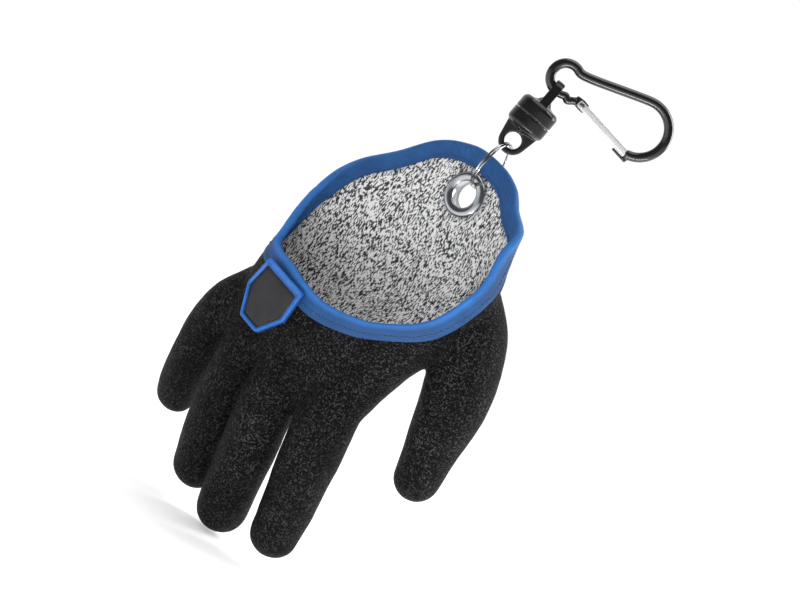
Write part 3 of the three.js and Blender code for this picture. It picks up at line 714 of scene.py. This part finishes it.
def latex_skin():
    """The coating: palm and fingers in one dented skin, cut open at the hem and the grommet."""
    below_hem, webs, inner_share, bore_reach = 1.6, -60, 0.82, 8
    forms = [palm_form()] + [finger_form(rows) for rows in fingers.values()]
    obj = remeshed("latex_skin", forms, glove_skin)
    points = vertex_points(obj)
    broad_dents = np.array([noise.noise(Vector(p / 17.0)) for p in points]) * 0.45
    small_dents = np.array([noise.noise(Vector(p / 6.5 + 40)) for p in points]) * 0.16
    move_points(obj, vertex_normals(obj) * (broad_dents + small_dents)[:, None])

    points = vertex_points(obj)
    turn, share = palm_place(points)
    in_palm = (hem_height(turn) - points[:, 2] > below_hem) & (share > inner_share)
    from_seat = (points - seat_middle) @ seat_axes.T
    near_seat = np.abs(from_seat[:, 1]) <= bore_reach
    in_bore = near_seat & (np.hypot(from_seat[:, 0], from_seat[:, 2]) <= tube_radius)
    wanted = ((points[:, 2] < webs) | in_palm) & ~in_bore
    keep_faces(obj, [all(wanted[i] for i in face.vertices) for face in obj.data.polygons])
    return obj


def knit_skin(latex):
    """The knit follows the coating from inside. Its faces look into the hollow."""
    inwards = wall - 0.25
    mesh = latex.data.copy()
    obj = bpy.data.objects.new("knit_skin", mesh)
    bpy.context.collection.objects.link(obj)
    points = vertex_points(obj)
    turn, share = palm_place(points)
    outwards_run = np.maximum(0, share - 1) * palm["width"] / 2 * (np.abs(turn) < 90)
    run = length_at(turn) - np.sign(turn) * outwards_run
    set_uv(mesh, np.stack([run, points[:, 2]], -1), wrap=girth)
    move_points(obj, -vertex_normals(obj) * inwards)
    mesh.flip_normals()
    return obj


latex = latex_skin()
knit = knit_skin(latex)
dress(latex, "latex", "glove", "latex", "latex_shell")
dress(knit, "knit", "glove", "knit", "knit_liner")


# The binding and its stitches

half_tape = wall / 2 + tape["gap"] + tape["thickness"]


def tape_section():
    """Depth and inset round the folded strip, from the outside edge over the fold to the inside edge."""
    flat_from, fold_start, edge = 0.6, 0.15, 0.25
    outer, inner = -tape["gap"], wall + tape["gap"]
    outside = [(depth, outer - tape["thickness"]) for depth in np.linspace(tape["outside"], flat_from, 8)]
    fold = [(-tape["fold"] * math.sin(a), wall / 2 - half_tape * math.cos(a))
            for a in np.linspace(fold_start, PI - fold_start, 9)]
    inside = [(depth, inner + tape["thickness"]) for depth in np.linspace(flat_from, tape["inside"], 7)]
    back = [(tape["inside"] + edge, inner + 0.4), (tape["inside"], inner - 0.1)]
    front = [(tape["outside"], outer + 0.1), (tape["outside"] + edge, outer - 0.4)]
    return np.array(outside + fold + inside + back + front)


def binding():
    """The tape, swept along the hem, drawn in along its seam and slightly wavy."""
    stations, seam_width, dip, pucker, wave = 620, 0.8, 0.20, 0.10, 0.12
    section = tape_section()
    run = np.linspace(0, hem_total, stations, endpoint=False)
    depth = np.repeat(section[None, :, 0], stations, 0)
    inset = np.repeat(section[None, :, 1], stations, 0)
    seam = np.exp(-((depth - (tape["outside"] - stitch["from_edge"])) / seam_width) ** 2)
    drawn_in = seam * (dip + pucker * np.sin(2 * PI * run / stitch["pitch"])[:, None])
    circle = 14 * np.stack([np.cos(2 * PI * run / hem_total), np.sin(2 * PI * run / hem_total), 0 * run], -1)
    waves = wave * np.array([noise.noise(Vector(point)) for point in circle])[:, None]
    points = hem_point(run[:, None], depth, inset + np.sign(inset - wall / 2) * (waves - drawn_in))
    length = np.concatenate(([0], np.cumsum(np.linalg.norm(np.diff(section, axis=0), axis=1))))
    uv = np.stack(np.broadcast_arrays(run[:, None], length[None, :]), -1)
    faces = grid_faces(stations, len(section), closed_rows=True)
    obj = make_object("binding_tape", *outwards(points.reshape(-1, 3), faces))
    set_uv(obj.data, uv.reshape(-1, 2), wrap=hem_total)
    return obj


def stitch_row(depth, inset):
    """Small thread loops along the hem, each a bent capsule that dives into the tape at its ends."""
    count = int(hem_total / stitch["pitch"])
    shape = np.linspace(-1, 1, 7)
    thickness = stitch["thick"] * np.sqrt(1.05 - 0.6 * shape ** 2)
    dive = stitch["dive"] * np.sign(inset - wall / 2) * shape ** 4
    parts = []
    for k in range(count):
        runs = (k + 0.5) * hem_total / count + shape * stitch["length"] / 2
        parts.append(swept(hem_point(runs, depth, inset - dive), thickness / 2, 6))
    return merged(parts)


def stitches():
    surface = tape["gap"] + tape["thickness"]
    outer = stitch_row(tape["outside"] - stitch["from_edge"], 0.02 - surface)
    inner = stitch_row(tape["inside"] - stitch["from_inner"], wall + surface + 0.05)
    return merged([outer, inner])


dress(binding(), "tape", "glove", "tape", "hem_binding")
add_piece("binding_stitches", stitches(), "thread", "glove", "tape")


# The patch

def label_loop(inset, top, corner, height):
    """One closed line of the patch's outline at a height above its back. It is shrunk by inset,
    and by top along its upper edge."""
    w, h = label["width"], label["height"]
    half = [(0.5 * w - inset, -0.04 * h), (0.46 * w - inset, 0.5 * h - top)]
    foot = (0.22 * w - 0.4 * inset, -0.5 * h + inset)
    corners = [(-x, y) for x, y in reversed([foot] + half)] + [foot] + half
    line = softened(corners, corner, 6)
    return np.column_stack([line, np.full(len(line), height)])


def patch_rim():
    """The blue rim: up its outside, over its rounded top and down its inside to the base."""
    outer, inner = 0.45, 0.4
    seat = label["base"] + 0.1
    top = label["base"] + label["gap"] + label["field"] + label["raised"]
    rim, strip = label["rim"], label["top_rim"]
    loops = [label_loop(0, 0, label["corner"], 0)]
    for a in np.linspace(0, PI / 2, 5):
        shrunk = outer * (1 - math.cos(a))
        loops.append(label_loop(shrunk, shrunk, label["corner"], top - outer + outer * math.sin(a)))
    for a in np.linspace(PI / 2, 0, 5):
        short = inner * math.cos(a)
        height = top - inner + inner * math.sin(a)
        loops.append(label_loop(rim - short, strip - short, label["inner_corner"], height))
    loops.append(label_loop(rim, strip, label["inner_corner"], seat))
    return outwards(*lofted(loops, np.array([0, 0, 0]), np.array([0, 0, seat])))


def patch_field():
    """The dark plate inside the rim, with a small bevel."""
    side_gap, bevel, flat_from = 0.08, 0.15, 3.0
    low, high = label["base"] + 0.15, label["base"] + label["gap"] + label["field"]
    rim, strip = label["rim"] + side_gap, label["top_rim"] + side_gap
    corner = label["inner_corner"]
    loops = [
        label_loop(rim, strip, corner, low),
        label_loop(rim, strip, corner, high - bevel),
        label_loop(rim + bevel, strip + bevel, corner, high),
        label_loop(rim + flat_from, strip + flat_from, 1.0, high),
    ]
    return outwards(*lofted(loops, np.array([0, 0, low]), np.array([0, -1.0, high])))


def patch_place():
    """The origin and axes of the patch, lifted until it clears the curved tape."""
    clearance = 0.3
    height = float(hem_height(label_at["turn"])) - label_at["drop"]
    cover = -tape["gap"] - tape["thickness"]
    normal = palm_normal(label_at["turn"], height)
    centre = palm_point(label_at["turn"], height, cover)
    turns, rises = np.meshgrid(np.arange(-25, 26, 5.0), np.arange(-0.5, 0.51, 0.25))
    near = palm_point(label_at["turn"] + turns, height + rises * label["height"], cover)
    lift = ((near - centre) @ normal).max() + clearance
    side = unit(np.array([-normal[1], normal[0], 0]))
    up = np.cross(normal, side)
    tilt = math.radians(label_at["tilt"])
    x_axis = math.cos(tilt) * side + math.sin(tilt) * up
    y_axis = math.cos(tilt) * up - math.sin(tilt) * side
    return centre + normal * lift, np.stack([x_axis, y_axis, normal])


patch_origin, patch_axes = patch_place()


rim = placed(patch_rim(), patch_axes, patch_origin)
field = placed(patch_field(), patch_axes, patch_origin)
add_piece("patch_rim", rim, "patch_rim", "glove", "patch_rim", "label_rim")
add_piece("patch_field", field, "patch_field", "glove", "patch_field", "label_field")


# The grommet

def grommet_front():
    """The eyelet: a domed flange in front, a rounded throat and a tube that is rolled out behind."""
    seat_rise, edge, throat_start = 0.9, 0.3, 0.15
    seat = wall / 2 + eyelet["gap"] + seat_rise
    lip = -wall / 2 - 2 * eyelet["gap"] - eyelet["washer"]
    bore, flange, rise = eyelet["bore"], eyelet["flange"], eyelet["crown"] - edge
    middle = (bore + flange) / 2 + 0.4
    rolled = tube_radius + eyelet["lip"]
    dome = [(middle + (flange - middle) * math.cos(a), seat + edge + rise * math.sin(a))
            for a in np.linspace(0, PI / 2, 8)]
    throat = [(middle - (middle - bore) * math.sin(a), seat + edge + rise * math.cos(a) ** 0.8)
              for a in np.linspace(throat_start, PI / 2, 9)]
    tube = [(bore, lip - 0.3), (bore + 0.4, lip - 0.6), (rolled, lip - 0.5), (rolled, lip),
            (tube_radius, lip), (tube_radius, seat), (flange - edge, seat)]
    return turned(dome + throat + tube, 96)


def grommet_washer():
    seat = -wall / 2 - eyelet["gap"]
    inner, outer = tube_radius + 0.15, eyelet["flange"] - 0.4
    profile = [(inner, seat), (outer, seat), (outer, seat - 0.5), (outer - 1.2, seat - eyelet["washer"]),
               (inner + 0.6, seat - eyelet["washer"]), (inner, seat - 0.7)]
    return turned(softened(profile, 0.35), 96)


flange = placed(grommet_front(), seat_axes, seat_middle)
washer = placed(grommet_washer(), seat_axes, seat_middle)
add_piece("grommet_flange", flange, "bright_steel", "glove", "bright_steel", "grommet_front")
add_piece("grommet_back", washer, "bright_steel", "glove", "bright_steel", "grommet_washer")


# The chain: its origin is the ring wire in the grommet, its +Z runs up the chain

def rotation(axis, degrees):
    c, s = math.cos(math.radians(degrees)), math.sin(math.radians(degrees))
    return np.array({"x": [[1, 0, 0], [0, c, -s], [0, s, c]], "y": [[c, 0, s], [0, 1, 0], [-s, 0, c]],
                     "z": [[c, -s, 0], [s, c, 0], [0, 0, 1]]}[axis])


drop_origin = seat_middle + np.array([0, 0, eyelet["bore"] - ring["slack"] - ring["wire"] / 2])
drop_axes = (rotation("z", chain["yaw"]) @ rotation("y", chain["lean"])).T


def in_drop(form, height, turn=np.eye(3)):
    """A form of the chain in the row frame, turned and lifted along the chain."""
    return placed(placed(form, turn.T, (0, 0, height)), drop_axes, drop_origin)


def split_ring():
    """A coil of almost two turns, which steps over from one turn to the next."""
    start, extent, step_at, step_over = 100, 650, 300, 45
    pitch = ring["wire"] + ring["coil_gap"]
    turns = np.linspace(0, extent, 320)
    t = np.clip((turns - step_at) / step_over, 0, 1)
    angle = np.radians(turns + start)
    path = np.stack([pitch * (t * t * (3 - 2 * t) - 0.5), ring["radius"] * np.sin(angle),
                     ring["radius"] * np.cos(angle)], -1)
    return swept(path, ring["wire"] / 2, 14)


coil = in_drop(split_ring(), ring["radius"], rotation("z", chain["ring_yaw"]))
add_piece("split_ring_wire", coil, "bright_steel", "glove", "bright_steel", "split_ring")


def drum_form(ear):
    """The round half drum, with a low cone that runs up into its ear."""
    radius, half, shoulder, axis = clip["radius"], clip["half"], clip["shoulder"], 0.001
    flare = 0.6 * (ear["reach"] - ear["hole"] - half)
    profile = [
        (axis, 0),
        (radius - 0.15, 0),
        (radius, 0.2),
        (radius, half - shoulder),
        (radius - shoulder, half),
        (0.68 * radius, half),
        (0.40 * radius, half + 0.25 * flare),
        (0.5 * ear["plate"], half + flare),
        (axis, half + flare),
    ]
    points, faces = turned(softened(profile, 0.9), 64)
    return points[:, [0, 2, 1]] * (1, -1, 1), faces


def ray_hit(origin, direction, line):
    """Where a ray from inside a closed line meets it."""
    edges = np.diff(line, axis=0)
    offsets = line[:-1] - origin
    cross = direction[0] * edges[:, 1] - direction[1] * edges[:, 0]
    cross[np.abs(cross) < 1e-9] = np.inf
    ahead = (offsets[:, 0] * edges[:, 1] - offsets[:, 1] * edges[:, 0]) / cross
    along = (offsets[:, 0] * direction[1] - offsets[:, 1] * direction[0]) / cross
    met = (ahead > 0) & (along >= -1e-6) & (along <= 1 + 1e-6)
    return origin + direction * ahead[met].min()


def ear_form(ear):
    """The ear's plate: a tapering outline with a round hole, rounded along its edges."""
    count, outer_edge, hole_edge = 72, 0.7, 0.6
    corner, root = clip["ear_width"] / 2, clip["half"] - clip["shoulder"]
    reach, end, half = ear["reach"], ear["end"], ear["plate"] / 2
    to_corner = math.atan2(root - reach, corner)
    tangent = to_corner + math.acos(end / math.hypot(corner, reach - root))
    outline = [(-corner, root), (corner, root)]
    outline += [(end * math.cos(a), reach + end * math.sin(a))
                for a in np.linspace(tangent, PI - tangent, 30)]
    closed = np.array(outline + outline[:1])
    angles = np.linspace(0, 2 * PI, count, endpoint=False) - PI / 2
    centre = np.array([0, reach])
    rays = np.stack([np.cos(angles), np.sin(angles)], -1)
    edge = np.array([ray_hit(centre, ray, closed) for ray in rays])
    rim = centre + rays * ear["hole"]
    inward = unit(rim - edge)
    quarter_steps = [-90, -60, -30, 0, 30, 60, 90]

    def rounded(line, way, soft, turn):
        shift = soft * (1 - math.cos(turn))
        depth = (half - soft) * np.sign(turn) + soft * math.sin(turn)
        return np.column_stack([line + way * shift, np.full(count, depth)])

    loops = [rounded(edge, inward, outer_edge, turn) for turn in np.radians(quarter_steps)]
    loops += [rounded(rim, -inward, hole_edge, turn) for turn in np.radians(quarter_steps[::-1])]
    points = np.concatenate(loops)
    return points[:, [0, 2, 1]], grid_faces(len(loops), count, closed_rows=True)


def clip_half(name, ear, height, turn):
    parts = [in_drop(outwards(*form), height, turn) for form in (drum_form(ear), ear_form(ear))]
    return remeshed(name, parts, clip_skin)


lower_height = 2 * ring["radius"] + lower_ear["hole"] - ring["wire"] / 2 - ring["slack"] + lower_ear["reach"]
upper_height = lower_height + clip["seam"]
lower_half = clip_half("clip_lower", lower_ear, lower_height, rotation("x", 180))
upper_half = clip_half("clip_upper", upper_ear, upper_height, rotation("z", 90))
dress(lower_half, "clip_plastic", "glove", "clip_plastic", "clip_lower_half")
dress(upper_half, "clip_plastic", "hook", "clip_plastic", "clip_upper_half")


# The carabiner lies in the chain's XZ plane with the middle of its small eye at the origin

ear_top = upper_height + upper_ear["reach"] + upper_ear["hole"]
eye_height = ear_top - hook["wire"] / 2 - hook["gap"] + hook["eye"]


def arc(x, z, radius, start, end, count):
    angles = np.radians(np.linspace(start, end, count + 1))
    return np.stack([x + radius * np.cos(angles), np.zeros(count + 1), z + radius * np.sin(angles)], -1)


pivot = np.array([gate["ahead"], 0, -hook["eye"] + gate["above"]])
nose_turn = -77
nose = arc(hook["span"], hook["rise"], hook["bow"], nose_turn, nose_turn, 0)[0]
gate_way = unit(nose - pivot)
gate_axes = rotation("y", math.degrees(-math.atan2(gate_way[2], gate_way[0]))).T


def slab(outline, thickness):
    """A flat plate with softened edges from an outline in the XZ plane."""
    line = softened(outline, 0.5, 3)
    centre = line.mean(0)
    loops = []
    for share, shrink in ((-1, 0.9), (-0.75, 1.0), (0.75, 1.0), (1, 0.9)):
        scaled = centre + (line - centre) * shrink
        depth = np.full(len(line), thickness / 2 * share)
        loops.append(np.column_stack([scaled[:, 0], depth, scaled[:, 1]]))
    back, front = (np.array([centre[0], side * thickness / 2, centre[1]]) for side in (-1, 1))
    return outwards(*lofted(loops, back, front))


def carabiner():
    """The frame: one bent wire from the nose round the bow and the eye to the gate's tongue."""
    stations, eye = 320, hook["eye"]
    extra, thinner, neck_from, neck_over = 0.15, 0.2, 0.84, 0.04
    bar_angle = math.degrees(math.atan2(hook["bow"] - eye + hook["rise"], hook["span"]))
    bow = arc(hook["span"], hook["rise"], hook["bow"], nose_turn, 90 + bar_angle, 14)
    small_eye = arc(0, 0, eye, 64, 262, 12)
    bumps = [(eye * 0.45, 0, -eye * 0.97), (5.3, 0, -6.2), (7.3, 0, -7.3), (9.2, 0, -5.9)]
    end = [(pivot[0] - 3.4, 0, pivot[2] - 0.3)]
    points = np.vstack([bow, [(eye * 0.82, 0, eye * 0.92)], small_eye, bumps, end])
    shares = np.linspace(0, 1, stations)
    neck = np.clip((shares - neck_from) / neck_over, 0, 1)
    wire = swept(curve_through(points, shares), (hook["wire"] / 2 + extra) * (1 - thinner * neck), 20)

    half_tongue = [(-4.6, 1.9), (-1, 2.6), (2.6, 2.4)]
    tongue_outline = [(x, -z) for x, z in half_tongue] + [(3.4, 0)] + half_tongue[::-1]
    tongue = slab(tongue_outline, gate["tongue"])
    below = gate["wire"] / 2 + hook["gap"] + 0.5
    half_lip, lip_width, behind, past_nose = 0.6, 3.0, 6.5, 2.2
    lip = slab([(-behind, -below - half_lip), (past_nose, -below - half_lip), (past_nose, 0.4), (-0.2, 0.4),
                (-0.2, -below + half_lip), (-behind, -below + half_lip)], lip_width)
    parts = [wire, placed(tongue, gate_axes, pivot), placed(lip, gate_axes, nose)]
    return remeshed("carabiner_frame", [in_drop(part, eye_height) for part in parts], hook_skin)


def gate_rod():
    """The gate: a rod of rounded square section, narrowed at both ends."""
    sides, squareness, flatness, end_gap = 48, 0.4, 0.92, 0.9
    length = np.linalg.norm(nose - pivot) - end_gap
    radius = gate["wire"] / 2
    sections = [(-2.2, 0.2), (-2.15, 0.7), (-1.9, 0.92), (-1.2, 1.0), (3.0, 1.0), (6.0, 1.0),
                (length - 0.4, 1.0), (length - 0.1, 0.93), (length, 0.75)]
    angles = np.linspace(0, 2 * PI, sides, endpoint=False)
    c, s = np.cos(angles), np.sin(angles)
    depth = np.sign(c) * np.abs(c) ** squareness * radius * flatness
    width = np.sign(s) * np.abs(s) ** squareness * radius
    rings = [np.stack([np.full(sides, x), share * depth, share * width], -1) for x, share in sections]
    return outwards(*lofted(rings, rings[0].mean(0), rings[-1].mean(0)))


def rivet():
    """The gate's pin, with a low domed head at both ends."""
    reach, pin, head, axis = gate["wire"] / 2 + 0.1, gate["pin"], gate["pin"] + 0.6, 0.001
    half = [(pin, reach), (head, reach), (head - 0.05, reach + 0.35), (axis, reach + 0.5)]
    profile = [(radius, -height) for radius, height in reversed(half)] + half
    points, faces = turned(softened(profile, 0.15, 2), 32)
    return points + pivot, faces


bar = in_drop(placed(gate_rod(), gate_axes, pivot), eye_height)
pin = in_drop(rivet(), eye_height)
dress(carabiner(), "black_metal", "hook", "black_metal", "carabiner_body")
add_piece("gate_bar", bar, "gate_metal", "gate", "bright_steel", "carabiner_gate")
add_piece("gate_pin", pin, "bright_steel", "hook", "bright_steel", "gate_rivet")


# Floor, light and camera

def add_floor():
    """A wide pale floor that gives off a little light, so that its far part stays white."""
    half = 6.0 / MM
    corners = [(x, y, floor_height) for x, y in ((-half, -half), (half, -half), (half, half), (-half, half))]
    floor = make_object("floor", corners, [(0, 1, 2, 3)])
    glow = {"Emission_Color": (1, 1, 1, 1), "Emission_Strength": 0.22}
    floor.data.materials.append(new_material("pale_floor", (0.8, 0.8, 0.8), 0.9, **glow))


def add_world():
    """A pale world that is darker on one side, so that glossy pieces show a dark edge."""
    world = bpy.data.worlds.new("studio")
    bpy.context.scene.world = world
    world.use_nodes = True
    nodes, links = world.node_tree.nodes, world.node_tree.links
    nodes["Background"].inputs["Strength"].default_value = 1.1
    way = nodes.new("ShaderNodeVectorMath")
    way.operation = "DOT_PRODUCT"
    way.inputs[1].default_value = (-0.52, 0.84, 0.14)
    shades = nodes.new("ShaderNodeValToRGB")
    links.new(nodes.new("ShaderNodeTexCoord").outputs["Generated"], way.inputs[0])
    links.new(way.outputs["Value"], shades.inputs[0])
    links.new(shades.outputs[0], nodes["Background"].inputs["Color"])
    low, high = shades.color_ramp.elements
    low.position, low.color = 0.1, (0.13, 0.13, 0.135, 1)
    high.position, high.color = 0.75, (1, 1, 1, 1)


def add_overhead():
    data = bpy.data.lights.new("overhead", "SUN")
    data.energy = 1.7
    data.angle = math.radians(60)
    bpy.context.collection.objects.link(bpy.data.objects.new("overhead", data))


def camera_axes():
    """The camera's right, up and back."""
    azimuth, elevation, roll = (math.radians(view[name]) for name in ("azimuth", "elevation", "roll"))
    back = np.array([math.sin(azimuth) * math.cos(elevation), -math.cos(azimuth) * math.cos(elevation),
                     math.sin(elevation)])
    level = np.array([math.cos(azimuth), math.sin(azimuth), 0])
    upright = np.cross(back, level)
    right = math.cos(roll) * level + math.sin(roll) * upright
    up = -math.sin(roll) * level + math.cos(roll) * upright
    return right, up, back


def add_placed(name, data, x_axis, z_axis, at):
    """Links a light or camera at a place in millimetres, with its X and Z along the given axes."""
    obj = bpy.data.objects.new(name, data)
    bpy.context.collection.objects.link(obj)
    matrix = np.eye(4)
    matrix[:3] = np.column_stack([x_axis, np.cross(z_axis, x_axis), z_axis, at * MM])
    obj.matrix_world = Matrix(matrix.tolist())
    return obj


def area_light(name, at, size, power, mirrored, target=(0, 0, -40), along=(1, 0)):
    """A soft light, placed from the target along the camera's axes in millimetres. along is the way
    that its width lies, to the camera's right and up. mirrored lights show in glossy pieces."""
    data = bpy.data.lights.new(name, "AREA")
    data.shape = "RECTANGLE"
    data.size, data.size_y = size[0] * MM, size[1] * MM
    data.energy = power
    right, up, back = camera_axes()
    away = at[0] * right + at[1] * up + at[2] * back
    z_axis = unit(away)
    wide = along[0] * right + along[1] * up
    x_axis = unit(wide - z_axis * np.dot(wide, z_axis))
    lamp = add_placed(name, data, x_axis, z_axis, np.array(target) + away)
    lamp.visible_camera = False
    lamp.visible_glossy = mirrored


def camera():
    right, up, back = camera_axes()
    data = bpy.data.cameras.new("camera")
    data.lens = view["lens"]
    data.sensor_width = view["sensor"]
    data.clip_start = 0.01
    data.clip_end = 50
    scale = view["mm_per_pixel"]
    distance = photo["width"] * view["lens"] / view["sensor"] * scale
    left = (photo["width"] / 2 - view["origin_at"][0]) * scale
    rise = (view["origin_at"][1] - photo["height"] / 2) * scale
    target = left * right + rise * up
    bpy.context.scene.camera = add_placed("camera", data, right, back, target + back * distance)


add_floor()
add_world()
add_overhead()
area_light("key", (-520, 620, 420), (1000, 1000), 4.5, False)
area_light("fill", (150, 350, 900), (600, 600), 4.5, False)
area_light("rim", (650, 60, -120), (250, 700), 5.0, True)
area_light("streak", (-133, -266, 218), (520, 26), 1.6, True, target=(35, 45, 100), along=(0.89, -0.45))
camera()
bpy.context.scene.view_settings.view_transform = "Standard"
